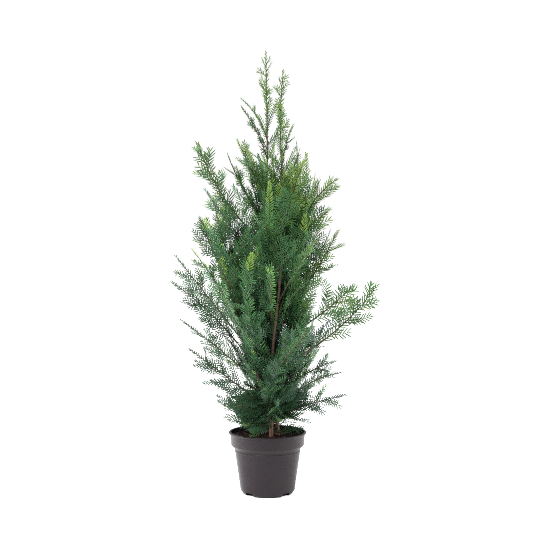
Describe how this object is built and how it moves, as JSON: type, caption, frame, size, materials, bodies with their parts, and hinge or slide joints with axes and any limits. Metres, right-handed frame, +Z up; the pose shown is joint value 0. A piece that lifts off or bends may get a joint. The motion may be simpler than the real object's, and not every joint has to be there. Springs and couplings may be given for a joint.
{
  "type": "potted yew",
  "caption": "Young multi-stemmed yew with a narrow conical crown of needle sprays, in a round tapered nursery pot filled with soil.",
  "frame": {"origin": "centre of the pot's flat underside", "axes": "+Z up along the plant, -Y is the pictured front, +X is the picture's right"},
  "size_m": [0.7514, 0.6416, 1.583],
  "materials": {
    "pot_plastic": "satin dark taupe-grey plastic",
    "potting_soil": "dark moist compost with fine bark",
    "yew_bark": "matt reddish-brown flaking bark",
    "needles": "satin evergreen needles"
  },
  "bodies": {
    "root": {"bough_left_broad": "yew_bark", "bough_left_long": "yew_bark", "bough_left_low": "yew_bark", "bough_left_reach": "yew_bark", "bough_right_broad": "yew_bark", "bough_right_long": "yew_bark", "foliage_back_1": "needles", "foliage_back_2": "needles", "foliage_back_3": "needles", "foliage_back_4": "needles", "foliage_back_5": "needles", "foliage_back_6": "needles", "foliage_front_1": "needles", "foliage_front_2": "needles", "foliage_front_3": "needles", "foliage_front_4": "needles", "foliage_front_5": "needles", "foliage_front_6": "needles", "foliage_inner_1": "needles", "foliage_inner_2": "needles", "foliage_inner_3": "needles", "foliage_inner_4": "needles", "foliage_inner_5": "needles", "foliage_inner_6": "needles", "foliage_inner_7": "needles", "foliage_inner_8": "needles", "foliage_inner_9": "needles", "foliage_left_broad": "needles", "foliage_left_crown": "needles", "foliage_left_high": "needles", "foliage_left_horn": "needles", "foliage_left_leader": "needles", "foliage_left_long": "needles", "foliage_left_low": "needles", "foliage_left_lower": "needles", "foliage_left_mid": "needles", "foliage_left_reach": "needles", "foliage_left_shoulder": "needles", "foliage_left_skirt": "needles", "foliage_left_spire": "needles", "foliage_left_top": "needles", "foliage_right_bright": "needles", "foliage_right_broad": "needles", "foliage_right_crown": "needles", "foliage_right_leader": "needles", "foliage_right_long": "needles", "foliage_right_low": "needles", "foliage_right_lower": "needles", "foliage_right_mid": "needles", "foliage_right_shoulder": "needles", "foliage_right_skirt": "needles", "foliage_right_slant": "needles", "foliage_right_spire": "needles", "foliage_right_top": "needles", "pot": "pot_plastic", "soil": "potting_soil", "stem_back": "yew_bark", "stem_front": "yew_bark", "stem_left": "yew_bark", "stem_right": "yew_bark"}
  },
  "joints": []
}
